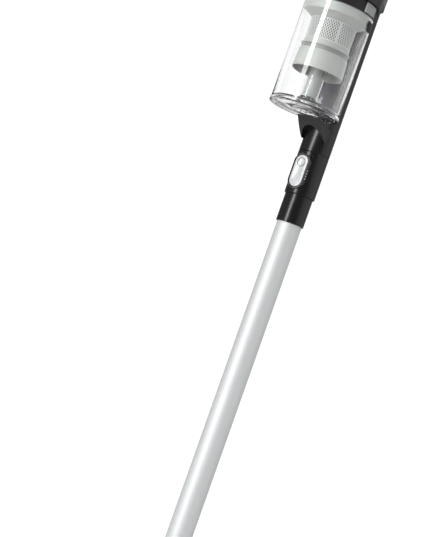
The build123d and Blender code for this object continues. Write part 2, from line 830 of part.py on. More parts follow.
# pale tab on the side of the band, slid down to let the bin come forwards
with BuildPart() as bin_latch:
    block(facing_side(0, tab_y, (tab_low + tab_high) / 2), tab_wide, tab_high - tab_low, 60)
    ring(level(tab_low - 1, bin_y), band_r + seam + tab_thick, band_r + seam, 20, Mode.INTERSECT)
save(bin_latch, "bin_latch")

# foam pre-filter disc
with BuildPart() as foam_filter:
    ring(level(case_high + 2, bin_y), bin_r - bin_wall - 1.3, 0, band_high - case_high - 2.6)
save(foam_filter, "foam_filter")

cone_low = 858.0
# flange and cone that the separator hangs from
with BuildPart() as cyclone_flange:
    ring(level(flange_low, bin_y), flange_r, 0, case_high - flange_low)
    chamfer(cyclone_flange.edges().group_by(Axis.Z)[0], 1.2)
    with BuildSketch(level(cone_low, bin_y)):
        Circle(mesh_r + 0.9)
    with BuildSketch(level(flange_low, bin_y)):
        Circle(flange_r - 2.0)
    loft()
    ring(level(cone_low - 1, bin_y), vortex_r + 0.1, 0, 40, Mode.SUBTRACT)
save(cyclone_flange, "cyclone_flange")

# screen round the cone
with BuildPart() as mesh_screen:
    ring(level(mesh_low, bin_y), mesh_r, mesh_r - 1.0, mesh_high - mesh_low)
save(mesh_screen, "mesh_screen")

skirt_foot_r = 31.9
skirt_top_r = 30.4
skirt_wall = 1.2
groove_r = 27.6
groove_high = 824.3
lip_r = 30.6
lip_tall = 2.6
# lower band, lip, groove and flared skirt under the screen
with BuildPart() as shroud_skirt:
    ring(level(groove_high, bin_y), lip_r, mesh_r - 2, lip_tall)
    ring(level(groove_high + 1, bin_y), mesh_r + 0.2, mesh_r - 2, mesh_low - groove_high - 1.1)
    ring(level(skirt_high - 0.5, bin_y), groove_r, groove_r - 3, groove_high - skirt_high + 1)
    ring(level(skirt_high - 1.2, bin_y), skirt_top_r, vortex_r + 0.1, 1.2)
    with BuildSketch(level(skirt_low, bin_y)):
        Circle(skirt_foot_r)
    with BuildSketch(level(skirt_high, bin_y)):
        Circle(skirt_top_r)
    loft()
    with BuildSketch(level(skirt_low, bin_y)):
        Circle(skirt_foot_r - skirt_wall)
    with BuildSketch(level(skirt_high - 1.2, bin_y)):
        Circle(skirt_top_r - skirt_wall)
    loft(mode=Mode.SUBTRACT)
    ring(level(skirt_low, bin_y), vortex_r + 0.1, 0, 60, Mode.SUBTRACT)
save(shroud_skirt, "shroud_skirt")

tube_foot = 757.0
# clear outer tube and pale inner tube in the middle
with BuildPart() as vortex_tube:
    ring(level(tube_foot, bin_y), vortex_r, vortex_r - 1.3, 866 - tube_foot)
save(vortex_tube, "vortex_tube")

with BuildPart() as inner_tube:
    ring(level(tube_foot + 9, bin_y), inner_tube_r, inner_tube_r - 1.4, 866 - tube_foot - 9)
    ring(level(tube_foot + 60, bin_y), vortex_r - 1.35, inner_tube_r - 1.4, 2)
save(inner_tube, "inner_tube")

# clear lid: a disc with a raised boss, turned to open
with BuildPart() as bin_lid:
    ring(level(lid_low, bin_y), bin_r + 0.8, 0, lid_high - lid_low)
    fillet(bin_lid.edges().group_by(Axis.Z)[0], 1.5)
    ring(level(lid_high - 1, bin_y), 14.5, 13.2, 3)
    for turn in range(3):
        with BuildSketch(level(lid_high - 1, bin_y)):
            with PolarLocations(bin_r - bin_wall - 1.4, 1, start_angle=30 + 120 * turn):
                Rectangle(1.6, 9)
        extrude(amount=4)
save(bin_lid, "bin_lid")

# rubber seal between lid and case
with BuildPart() as lid_seal:
    ring(level(lid_high + 0.02, bin_y), bin_r - bin_wall - 2.6, bin_r - bin_wall - 4.4, 2.6)
save(lid_seal, "lid_seal")
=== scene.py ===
"""Looks of the cordless stick vacuum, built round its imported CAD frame. Lengths are metres."""
import json
import math

import bmesh
import bpy
from mathutils import Matrix, Vector

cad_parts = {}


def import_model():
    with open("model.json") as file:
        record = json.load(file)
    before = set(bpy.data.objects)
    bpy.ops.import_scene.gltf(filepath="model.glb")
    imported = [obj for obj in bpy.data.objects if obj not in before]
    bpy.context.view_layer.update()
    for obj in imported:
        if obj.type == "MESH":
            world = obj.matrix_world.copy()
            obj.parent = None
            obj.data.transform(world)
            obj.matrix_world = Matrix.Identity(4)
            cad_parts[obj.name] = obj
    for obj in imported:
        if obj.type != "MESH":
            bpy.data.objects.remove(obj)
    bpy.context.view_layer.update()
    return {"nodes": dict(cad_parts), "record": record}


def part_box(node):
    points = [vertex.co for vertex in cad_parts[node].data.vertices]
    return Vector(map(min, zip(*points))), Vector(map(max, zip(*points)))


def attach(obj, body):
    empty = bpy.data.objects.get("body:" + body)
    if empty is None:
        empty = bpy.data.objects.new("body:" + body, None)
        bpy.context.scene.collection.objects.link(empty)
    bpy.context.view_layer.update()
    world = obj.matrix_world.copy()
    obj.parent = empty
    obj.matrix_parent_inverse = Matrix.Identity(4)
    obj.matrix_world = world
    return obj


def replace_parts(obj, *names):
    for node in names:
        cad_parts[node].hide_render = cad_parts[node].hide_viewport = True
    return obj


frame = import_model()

MM = 0.001
TAU = 2 * math.pi

# ------------------------------ places from the frame ------------------------------


def size_of(node):
    """Lowest corner, highest corner and middle of a CAD node."""
    low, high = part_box(node)
    return low, high, (low + high) / 2


case_low, case_high, case_mid = size_of("bin_case")
BIN = Vector((case_mid.x, case_mid.y, 0))
BIN_R = (case_high.x - case_low.x) / 2
screen_low, screen_high, _ = size_of("mesh_screen")
SCREEN_R = (screen_high.x - screen_low.x) / 2
lid_low, lid_high, _ = size_of("bin_lid")
LID_R = (lid_high.x - lid_low.x) / 2
band_low, band_high, _ = size_of("bin_collar")
BAND_R = (band_high.x - band_low.x) / 2
skirt_low, skirt_high, _ = size_of("shroud_skirt")
SKIRT_R = (skirt_high.x - skirt_low.x) / 2
button_low, button_high, button_mid = size_of("release_button")
roll_low, roll_high, roll_mid = size_of("brush_roll")
ROLL_R = (roll_high.z - roll_low.z) / 2
bristle_low, bristle_high, _ = size_of("brush_bristles")
vortex_low, vortex_high, _ = size_of("vortex_tube")
VORTEX_R = (vortex_high.x - vortex_low.x) / 2

# ---------------------------------- materials ----------------------------------

TINT_SCALE = 22
RELIEF_DEPTH = 0.2 * MM


def material(name, colour, rough, metal=0.0, grain=400.0, bump=0.03, spread=0.06, stretch=1.0,
             patina=0.12, **sockets):
    """Surface whose roughness, colour and relief vary with procedural noise.

    grain is the scale of the fine noise, spread how far the colour varies, patina how far
    the roughness varies; a stretch below 1 draws the grain out upwards.
    """
    made = bpy.data.materials.new(name)
    made.use_nodes = True
    nodes, links = made.node_tree.nodes, made.node_tree.links
    shader = nodes["Principled BSDF"]
    shader.inputs["Metallic"].default_value = metal
    for socket, value in sockets.items():
        shader.inputs[socket.replace("_", " ")].default_value = value
    where = nodes.new("ShaderNodeTexCoord")
    warp = nodes.new("ShaderNodeMapping")
    warp.inputs["Scale"].default_value = (1, 1, stretch)
    links.new(where.outputs["Object"], warp.inputs["Vector"])
    fine = nodes.new("ShaderNodeTexNoise")
    fine.inputs["Scale"].default_value = grain
    fine.inputs["Detail"].default_value = 4
    links.new(warp.outputs["Vector"], fine.inputs["Vector"])
    broad = nodes.new("ShaderNodeTexNoise")
    broad.inputs["Scale"].default_value = TINT_SCALE
    broad.inputs["Detail"].default_value = 3
    links.new(where.outputs["Object"], broad.inputs["Vector"])
    tint = nodes.new("ShaderNodeMix")
    tint.data_type = "RGBA"
    tint.inputs["A"].default_value = (*[c * (1 - spread) for c in colour], 1)
    tint.inputs["B"].default_value = (*[min(1, c * (1 + spread)) for c in colour], 1)
    links.new(broad.outputs["Fac"], tint.inputs["Factor"])
    links.new(tint.outputs["Result"], shader.inputs["Base Color"])
    gloss = nodes.new("ShaderNodeMapRange")
    gloss.inputs["To Min"].default_value = max(0.01, rough * (1 - patina))
    gloss.inputs["To Max"].default_value = min(1, rough * (1 + patina))
    links.new(fine.outputs["Fac"], gloss.inputs["Value"])
    links.new(gloss.outputs["Result"], shader.inputs["Roughness"])
    relief = nodes.new("ShaderNodeBump")
    relief.inputs["Strength"].default_value = bump
    relief.inputs["Distance"].default_value = RELIEF_DEPTH
    links.new(fine.outputs["Fac"], relief.inputs["Height"])
    links.new(relief.outputs["Normal"], shader.inputs["Normal"])
    return made


def clear(name, colour, rough):
    """Clear acrylic with the faintest haze and moulding ripple, which lets light through."""
    made = material(name, colour, rough, grain=60, bump=0.012, spread=0.0, patina=0.4,
                    Transmission_Weight=1.0, IOR=1.49)
    nodes, links = made.node_tree.nodes, made.node_tree.links
    ray = nodes.new("ShaderNodeLightPath")
    through = nodes.new("ShaderNodeBsdfTransparent")
    through.inputs["Color"].default_value = (0.93, 0.94, 0.94, 1)
    blend = nodes.new("ShaderNodeMixShader")
    links.new(ray.outputs["Is Shadow Ray"], blend.inputs["Fac"])
    links.new(nodes["Principled BSDF"].outputs["BSDF"], blend.inputs[1])
    links.new(through.outputs["BSDF"], blend.inputs[2])
    links.new(blend.outputs["Shader"], nodes["Material Output"].inputs["Surface"])
    return made


BLACK = material("black_plastic", (0.0062, 0.005, 0.0055), 0.24, grain=500, bump=0.006,
                 spread=0.1, patina=0.06, Specular_IOR_Level=0.62)
DARK = material("dark_plastic", (0.022, 0.02, 0.023), 0.38, grain=900, bump=0.08)
DUCT = material("duct_plastic", (0.066, 0.058, 0.086), 0.42, grain=900, bump=0.05)
SILVER = material("silver_paint", (0.80, 0.82, 0.825), 0.3, metal=0.2, grain=2600, bump=0.01)
CHROME = material("chrome_line", (0.7, 0.71, 0.73), 0.16, metal=1.0, grain=900, bump=0.01)
PALE = material("pale_plastic", (0.39, 0.402, 0.384), 0.42, grain=700, bump=0.04,
                Subsurface_Weight=0.08, Subsurface_Scale=0.002)
SCREEN = material("screen_plastic", (0.5, 0.512, 0.498), 0.38, grain=900, bump=0.03)
CLEAR = clear("clear_acrylic", (0.985, 0.99, 0.99), 0.02)
FROST = clear("clear_tube", (0.97, 0.975, 0.975), 0.04)
# near-black lining behind the screen's holes: painted shade for the dark inside of the screen
SHADE_LINING = material("screen_painted_shade_lining", (0.006, 0.006, 0.007), 0.95, grain=3000, bump=0.3)
ANODISED = material("anodised_tube", (0.865, 0.885, 0.888), 0.6, metal=0.5, grain=1500,
                    bump=0.04, stretch=0.06, spread=0.02)
RUBBER = material("soft_rubber", (0.025, 0.024, 0.026), 0.72, grain=1400, bump=0.2)
WHEEL = material("wheel_rubber", (0.02, 0.02, 0.021), 0.6, grain=900, bump=0.2)
FELT = material("felt", (0.06, 0.06, 0.065), 0.95, grain=2200, bump=0.8, Sheen_Weight=0.4)
BRISTLE = material("bristle", (0.23, 0.03, 0.035), 0.6, grain=1600, bump=0.3, spread=0.25)
ROLL = material("roll_plastic", (0.14, 0.14, 0.15), 0.4, grain=700, bump=0.06)
STEEL = material("steel", (0.5, 0.5, 0.51), 0.28, metal=1.0, grain=1200, bump=0.06)
BRASS = material("brass", (0.75, 0.55, 0.24), 0.25, metal=1.0, grain=1200, bump=0.04)
MOTOR = material("motor_case", (0.28, 0.29, 0.31), 0.35, metal=0.8, grain=800, bump=0.05)
FAN = material("fan_plastic", (0.2, 0.205, 0.22), 0.4, grain=700, bump=0.05)
# mid grey used as painted shade: the strip in the skirt's groove and the ring round the thumb
# dimple
PAINTED_SHADE_GREY = material("painted_shade_grey", (0.21, 0.22, 0.215), 0.45, grain=700, bump=0.04)
FOAM = material("foam", (0.62, 0.62, 0.58), 0.95, grain=1300, bump=0.9, spread=0.12)
BOARD = material("board", (0.02, 0.12, 0.05), 0.45, grain=600, bump=0.15)
CELL = material("cell_wrap", (0.05, 0.16, 0.3), 0.35, grain=500, bump=0.05)
TAB = material("tab_plastic", (0.6, 0.62, 0.62), 0.22, grain=500, bump=0.03,
               Transmission_Weight=0.35, IOR=1.45)

BY_SLOT = {
    "black_plastic": BLACK, "dark_plastic": DARK, "duct_plastic": DUCT,
    "silver_plastic": SILVER, "pale_plastic": PALE, "screen": SCREEN, "clear": CLEAR,
    "anodised": ANODISED, "soft_rubber": RUBBER, "wheel_rubber": WHEEL, "felt": FELT,
    "bristle": BRISTLE, "roll": ROLL, "steel": STEEL, "brass": BRASS, "motor": MOTOR,
    "fan_plastic": FAN, "foam": FOAM, "conduit": DARK,
}
BY_NODE = {"control_board": BOARD, "battery_cells": CELL, "bin_latch": TAB, "trigger": DARK,
           "vortex_tube": FROST}
SLOT_OF = {row["node"]: row["material_slot"] for row in frame["record"]["subparts"]}
SOFT_EDGES = {"wand_collar": 0.5, "button_bezel": 0.3, "inlet_socket": 0.5, "head_base": 0.6,
              "neck_yoke": 1.0, "wand_socket": 1.2, "handle_left": 0.6, "handle_right": 0.6,
              "battery_case": 0.6, "filter_cap": 0.5, "cyclone_flange": 0.7, "bin_latch": 0.6,
              "head_latch_button": 0.6, "trigger": 0.8, "front_bumper": 1.0, "sole_felt": 0.6,
              "brush_end_cap": 0.5, "battery_latch": 0.4, "duct_front_wall": 0.3,
              "head_cover": 0.8, "top_cover": 0.5, "motor_housing": 0.5, "grip_pad": 0.6}


WELD_REACH = 2e-6
BEVEL_ANGLE = math.radians(40)
SPLIT_ANGLE = math.radians(32)


def dress(node, thing):
    """Material, soft edges and smooth shading for a CAD node."""
    thing.data.materials.clear()
    thing.data.materials.append(BY_NODE.get(node) or BY_SLOT[SLOT_OF[node]])
    for face in thing.data.polygons:
        face.use_smooth = True
    weld = thing.modifiers.new("weld", "WELD")
    weld.merge_threshold = WELD_REACH
    if node in SOFT_EDGES:
        bevel = thing.modifiers.new("bevel", "BEVEL")
        bevel.width = SOFT_EDGES[node] * MM
        bevel.segments = 3
        bevel.limit_method = "ANGLE"
        bevel.angle_limit = BEVEL_ANGLE
        bevel.use_clamp_overlap = True
        bevel.harden_normals = False
    split = thing.modifiers.new("edges", "EDGE_SPLIT")
    split.split_angle = SPLIT_ANGLE


for node, thing in frame["nodes"].items():
    dress(node, thing)

# ---------------------------------- mesh tools ----------------------------------


def to_object(name, grid, finish, body, sharp=35, shade_lining=None):
    """Turn a bmesh into a piece that rides on a body."""
    bmesh.ops.remove_doubles(grid, verts=grid.verts, dist=1e-7)
    bmesh.ops.recalc_face_normals(grid, faces=grid.faces)
    shape = bpy.data.meshes.new(name)
    grid.to_mesh(shape)
    grid.free()
    for face in shape.polygons:
        face.use_smooth = True
    shape.set_sharp_from_angle(angle=math.radians(sharp))
    shape.materials.append(finish)
    # optional second material, used for the painted shade of the screen's lining
    if shade_lining:
        shape.materials.append(shade_lining)
    piece = bpy.data.objects.new(name, shape)
    bpy.context.collection.objects.link(piece)
    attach(piece, body)
    return piece


def rounded(corners, radius, steps=4):
    """Closed outline whose corners are eased; a corner may carry its own radius."""
    outline = []
    count = len(corners)
    for place, corner in enumerate(corners):
        here = Vector(corner[:2])
        before = Vector(corners[place - 1][:2]) - here
        after = Vector(corners[(place + 1) % count][:2]) - here
        own = corner[2] if len(corner) > 2 else radius
        reach = min(own, before.length * 0.45, after.length * 0.45)
        if reach < 1e-6:
            outline.append(here)
            continue
        first, last = here + before.normalized() * reach, here + after.normalized() * reach
        for step in range(steps + 1):
            t = step / steps
            outline.append(first * (1 - t) ** 2 + here * 2 * t * (1 - t) + last * t * t)
    return outline


def turned(name, corners, finish, body, radius=0.3, centre=BIN, segments=160, sharp=35):
    """Piece turned about an upright axis from a closed outline of (radius, height) in metres."""
    grid = bmesh.new()
    outline = rounded(corners, radius * MM)
    rings = []
    for turn in range(segments):
        angle = TAU * turn / segments
        rings.append([grid.verts.new((centre.x + p.x * math.sin(angle),
                                      centre.y - p.x * math.cos(angle), p.y)) for p in outline])
    for turn, ring in enumerate(rings):
        nxt = rings[(turn + 1) % segments]
        for place in range(len(outline)):
            after = (place + 1) % len(outline)
            if outline[place].x < 1e-7 and outline[after].x < 1e-7:
                continue
            grid.faces.new((ring[place], ring[after], nxt[after], nxt[place]))
    bmesh.ops.remove_doubles(grid, verts=grid.verts, dist=1e-7)
    bmesh.ops.dissolve_degenerate(grid, edges=grid.edges, dist=1e-8)
    return to_object(name, grid, finish, body, sharp=sharp)


def box_piece(low, high):
    """Plain cutting block, removed after use."""
    grid = bmesh.new()
    bmesh.ops.create_cube(grid, size=1)
    for vertex in grid.verts:
        vertex.co = Vector((low[i] + (vertex.co[i] + 0.5) * (high[i] - low[i])
                            for i in range(3)))
    shape = bpy.data.meshes.new("cutter")
    grid.to_mesh(shape)
    grid.free()
    cutter = bpy.data.objects.new("cutter", shape)
    bpy.context.collection.objects.link(cutter)
    return cutter


def cut(piece, cutter, sharp=35):
    """Take the cutter's volume out of a piece and drop the cutter."""
    change = piece.modifiers.new("cut", "BOOLEAN")
    change.operation = "DIFFERENCE"
    change.object = cutter
    change.solver = "EXACT"
    bpy.context.view_layer.update()
    graph = bpy.context.evaluated_depsgraph_get()
    shape = bpy.data.meshes.new_from_object(piece.evaluated_get(graph))
    piece.modifiers.clear()
    piece.data = shape
    for face in shape.polygons:
        face.use_smooth = True
    shape.set_sharp_from_angle(angle=math.radians(sharp))
    bpy.data.objects.remove(cutter)
    return piece


def ease(piece, width):
    """Soft edges on a piece, in millimetres."""
    bevel = piece.modifiers.new("bevel", "BEVEL")
    bevel.width = width * MM
    bevel.segments = 2
    bevel.limit_method = "ANGLE"
    return piece


# ------------------------------------ dust bin ------------------------------------

WALL = 1.6 * MM
foot, rim = case_low.z, case_high.z


def bin_case():
    """Clear case with a thicker foot and lip, and the duct's window at the back."""
    inner = BIN_R - WALL
    piece = turned("bin_case_clear", [
        (inner - 0.1 * MM, foot), (BIN_R, foot), (BIN_R, rim), (inner, rim),
        (inner, foot + 4 * MM)], CLEAR, "bin", radius=0.25, segments=256)
    window_low, window_high, window_half = 0.838, 0.863, 9 * MM
    cutter = box_piece((-window_half, BIN.y + 10 * MM, window_low),
                       (window_half, 0.0, window_high))
    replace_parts(cut(piece, cutter), "bin_case")


def bin_lid():
    """Clear lid: thick rounded rim, shallow dish and a lens-like boss in the middle."""
    low, top = lid_low.z, lid_high.z - 3 * MM
    inner = BIN_R - WALL
    rim_round = 1.6 * MM
    sunk = low + 1.2 * MM
    spigot_r, spigot_top = inner - 0.6 * MM, top + 2.8 * MM
    boss_top = top + 1.9 * MM
    corners = [
        (0, sunk, 0), (13 * MM, sunk), (16.5 * MM, low), (LID_R, low, rim_round),
        (LID_R, top - 0.1 * MM, rim_round), (spigot_r, top - 0.1 * MM),
        (spigot_r, spigot_top), (inner - 2.0 * MM, spigot_top),
        (inner - 2.4 * MM, low + 2.6 * MM), (17 * MM, low + 2.4 * MM), (14.5 * MM, boss_top),
        (13.2 * MM, boss_top), (12 * MM, low + 3.4 * MM), (6 * MM, low + 4.2 * MM),
        (0, low + 4.5 * MM, 0)]
    piece = turned("bin_lid_clear", corners, CLEAR, "lid", radius=0.5, segments=192)
    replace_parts(piece, "bin_lid")


def screen():
    """Perforated screen: staggered holes, four plain ribs and a dark lining behind them; the
    lining is painted shade that darkens the holes.

    The two half sizes of a hole are hole_wide and hole_tall.
    """
    low, high = screen_low.z, screen_high.z
    columns, rows, sides = 112, 5, 8
    first_rib, rib_columns, rib_count = 15, 2, 4
    shade_lining_front, shade_lining_back, shade_lining_sides = 0.55 * MM, 0.95 * MM, 96
    hole_wide, hole_tall = 0.78 * MM, 1.25 * MM
    pitch_a = TAU / columns
    pitch_z = (high - low) / (rows + 0.5)
    depths = (0.0, 0.4 * MM)
    ribs = {(first_rib + step + columns // rib_count * turn) % columns
            for turn in range(rib_count) for step in range(rib_columns)}
    grid = bmesh.new()

    def place(angle, z, depth):
        r = SCREEN_R - depth
        return grid.verts.new((BIN.x + r * math.sin(angle), BIN.y - r * math.cos(angle), z))

    def hole_ring(am, zm, depth):
        return [place(am + hole_wide / SCREEN_R * math.cos(TAU * k / sides),
                      zm + hole_tall * math.sin(TAU * k / sides), depth) for k in range(sides)]

    for column in range(columns):
        a0, a1 = (column - 0.5) * pitch_a, (column + 0.5) * pitch_a
        am = (a0 + a1) / 2
        shift = 0.5 * pitch_z if column % 2 else 0.0
        for row in range(rows):
            z0 = low + row * pitch_z + shift
            z1 = z0 + pitch_z
            zm = (z0 + z1) / 2
            corners = [(a1, zm), (a1, z1), (am, z1), (a0, z1), (a0, zm), (a0, z0), (am, z0),
                       (a1, z0)]
            for depth in depths:
                outer = [place(a, z, depth) for a, z in corners]
                if column in ribs:
                    grid.faces.new(outer)
                    continue
                inner = hole_ring(am, zm, depth)
                for k in range(sides):
                    nxt = (k + 1) % sides
                    grid.faces.new((outer[k], outer[nxt], inner[nxt], inner[k]))
            if column not in ribs:
                front, back = hole_ring(am, zm, depths[0]), hole_ring(am, zm, depths[1])
                for k in range(sides):
                    nxt = (k + 1) % sides
                    grid.faces.new((front[k], front[nxt], back[nxt], back[k]))
        bottom, top = (low, low + shift) if shift else (high - 0.5 * pitch_z, high)
        for depth in depths:
            grid.faces.new([place(a, z, depth) for a, z in
                            ((a0, bottom), (am, bottom), (a1, bottom), (a1, top), (am, top),
                             (a0, top))])
        for end in (low, high):
            for b0, b1 in ((a0, am), (am, a1)):
                grid.faces.new([place(b, end, depth) for b, depth in
                                ((b0, depths[0]), (b1, depths[0]), (b1, depths[1]),
                                 (b0, depths[1]))])
    # dark sleeve behind the holes: painted shade standing in for the shadow inside the screen
    sleeve = []
    for depth in (shade_lining_front, shade_lining_back):
        for z in (low, high):
            sleeve.append([place(TAU * k / shade_lining_sides, z, depth)
                           for k in range(shade_lining_sides)])
    for one, two in ((0, 1), (1, 3), (3, 2), (2, 0)):
        for k in range(shade_lining_sides):
            nxt = (k + 1) % shade_lining_sides
            face = grid.faces.new((sleeve[one][k], sleeve[one][nxt], sleeve[two][nxt],
                                   sleeve[two][k]))
            face.material_index = 1
    piece = to_object("screen_perforated", grid, SCREEN, "bin", sharp=50,
                      shade_lining=SHADE_LINING)
    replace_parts(piece, "mesh_screen")


def skirt():
    """Lip under the screen, the groove with a grey strip of painted shade in it, and the flared
    skirt.
    """
    inner = VORTEX_R + 0.15 * MM
    foot, shoulder = skirt_low.z, skirt_low.z + 23.7 * MM
    groove = shoulder + 4.9 * MM
    top = screen_low.z - 0.1 * MM
    groove_r, lip_r, neck_r, sleeve_r = 26.6 * MM, 30.6 * MM, 28.5 * MM, 25.0 * MM
    floor_low, floor_high = shoulder - 1.2 * MM, shoulder + 0.6 * MM
    piece = turned("shroud_skirt_fine", [
        (inner, floor_low), (29.0 * MM, floor_low), (30.7 * MM, foot),
        (SKIRT_R, foot), (30.4 * MM, shoulder, 1.0 * MM), (groove_r, shoulder + 0.1 * MM),
        (groove_r, groove), (30.2 * MM, groove + 0.2 * MM), (lip_r, groove + 1.6 * MM),
        (29.9 * MM, groove + 2.4 * MM), (neck_r, groove + 2.8 * MM), (neck_r, top),
        (groove_r, top), (groove_r, groove + 0.8 * MM), (sleeve_r, groove - 0.6 * MM),
        (sleeve_r, floor_high), (inner, floor_high)],
        PALE, "bin", radius=0.3)
    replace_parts(piece, "shroud_skirt")
    # grey strip inside the groove: painted shade for the groove's shadow
    shade_strip_inner, shade_strip_outer = groove_r + 0.1 * MM, 29.3 * MM
    shade_strip_low, shade_strip_high = shoulder + 0.2 * MM, groove - 0.1 * MM
    turned("groove_painted_shade_strip", [
        (shade_strip_inner, shade_strip_low), (shade_strip_outer, shade_strip_low), (shade_strip_outer, shade_strip_high),
        (shade_strip_inner, shade_strip_high)], PAINTED_SHADE_GREY, "bin", radius=0.2)


def band():
    """Dark band above the case, with fine raised lines round it."""
    low, high = band_low.z, band_high.z
    inner = BIN_R - WALL - 1 * MM
    lines, proud = 6, 0.45 * MM
    outer, crest = BAND_R - proud, BAND_R - 0.02 * MM
    corners = [(inner, low), (outer, low), (outer, low + 0.9 * MM)]
    step = (high - low - 2.2 * MM) / lines
    for line in range(lines):
        z = low + 1.1 * MM + step * line
        corners += [(outer, z), (crest, z + step * 0.25), (crest, z + step * 0.6),
                    (outer, z + step * 0.85)]
    corners += [(outer, high - 1.0 * MM), (crest, high - 0.8 * MM), (crest, high),
                (inner, high)]
    piece = turned("bin_collar_ribbed", corners, DARK, "bin", radius=0.08,
                   segments=192)
    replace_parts(piece, "bin_collar")


def arc_block(grid, inner, outer, low, high, first, last, steps=10):
    """Block bent round the bin's axis, from one angle to another in degrees."""
    rings = []
    for step in range(steps + 1):
        angle = math.radians(first + (last - first) * step / steps)
        rings.append([grid.verts.new((BIN.x + r * math.sin(angle), BIN.y - r * math.cos(angle),
                                      z)) for r, z in ((inner, low), (outer, low),
                                                       (outer, high), (inner, high))])
    for one, two in zip(rings, rings[1:]):
        for k in range(4):
            grid.faces.new((one[k], one[(k + 1) % 4], two[(k + 1) % 4], two[k]))
    grid.faces.new(rings[0])
    grid.faces.new(rings[-1])


def tab_ribs():
    """Dark ribbed grip under the tab."""
    grid = bmesh.new()
    inner = BIN_R + 0.35 * MM
    low, high = 860.0 * MM, 872.4 * MM
    first, last = 93, 109
    ribs, pitch, tall = 5, 2.4 * MM, 1.2 * MM
    arc_block(grid, inner, inner + 0.5 * MM, low, high, first, last)
    for rib in range(ribs):
        z = low + 0.8 * MM + rib * pitch
        arc_block(grid, inner + 0.4 * MM, inner + 1.1 * MM, z, z + tall, first + 1, last - 1)
    piece = to_object("tab_grip_ribs", grid, DARK, "bin_catch")
    ease(piece, 0.15)


def vanes():
    """Clear vanes on the lid and black vanes inside the foot of the middle tube; the foot vanes
    are black as painted reflection, dark glints standing in for the duct seen through the lid.
    """
    for name, finish, body, count, turn, half, inner, outer, low, high in (
            ("lid_vanes", CLEAR, "lid", 16, 0, 1.6, 14.8 * MM, 19.5 * MM,
             lid_high.z - 4.0 * MM, lid_high.z + 0.6 * MM),
            # black foot vanes: painted reflection, dark glints in place of the duct refracted
            # through the lid
            ("tube_foot_vanes_painted_glints", BLACK, "bin", 12, 8, 3.2, 8.0 * MM, VORTEX_R - 1.4 * MM,
             vortex_low.z + 0.3 * MM, vortex_low.z + 8.6 * MM)):
        grid = bmesh.new()
        for vane in range(count):
            middle = vane * 360 / count + turn
            arc_block(grid, inner, outer, low, high, middle - half, middle + half, steps=2)
        ease(to_object(name, grid, finish, body), 0.3)


def louvres():
    """Rows of low ribs on both flanks of the upper housing."""
    ribs, lowest, pitch, tall = 9, 1.018, 3.6 * MM, 1.6 * MM
    inner, outer, first, last = 47.3 * MM, 48.3 * MM, 38, 78
    for side, word in ((-1, "left"), (1, "right")):
        grid = bmesh.new()
        for rib in range(ribs):
            z = lowest + rib * pitch
            arc_block(grid, inner, outer, z, z + tall, side * first, side * last)
        piece = to_object(f"louvres_{word}", grid, DARK, "cleaner")
        ease(piece, 0.4)


bin_case()
bin_lid()
screen()
skirt()
band()
tab_ribs()
vanes()
louvres()

# --------------------------------- release button ---------------------------------


def stadium(half_height, half_width, count=72):
    """Points (x, z) round an upright outline with round ends."""
    straight = half_height - half_width
    points = []
    for step in range(count):
        angle = TAU * (step + 0.5) / count
        x, z = half_width * math.cos(angle), half_width * math.sin(angle)
        points.append((x, z + (straight if math.sin(angle) > 0 else -straight)))
    return points


DIMPLE_STEP = 0.35 * MM


def capsule_piece(name, levels, finish, body, middle, dimple=None, closed=False):
    """Lofted capsule that faces the front.

    levels are (half height, half width, depth, curved): a curved level lies at that radius
    about the wand's axis, a flat one at that distance in front of it. The dimple
    (centre, radius, depth) is sunk into the flat levels.
    """
    grid = bmesh.new()
    rings = []
    for half_height, half_width, depth, curved in levels:
        ring = []
        for x, z in stadium(half_height, max(half_width, 1e-5)):
            y = -math.sqrt(depth * depth - x * x) if curved else -depth
            if dimple and not curved:
                centre, reach, sunk = dimple
                away = math.hypot(x, z - centre) / reach
                if away < 1:
                    y += sunk * (1 - away * away) + DIMPLE_STEP
            ring.append(grid.verts.new((x, y, middle.z + z)))
        rings.append(ring)
    pairs = list(zip(rings, rings[1:]))
    if closed:
        pairs.append((rings[-1], rings[0]))
    for one, two in pairs:
        for k in range(len(one)):
            nxt = (k + 1) % len(one)
            grid.faces.new((one[k], one[nxt], two[nxt], two[k]))
    if not closed:
        grid.faces.new(rings[0])
        last = rings[-1]
        count = len(last)
        for k in range(count // 2 - 1):
            grid.faces.new((last[k], last[k + 1], last[count - 2 - k], last[count - 1 - k]))
    return to_object(name, grid, finish, body, sharp=50)


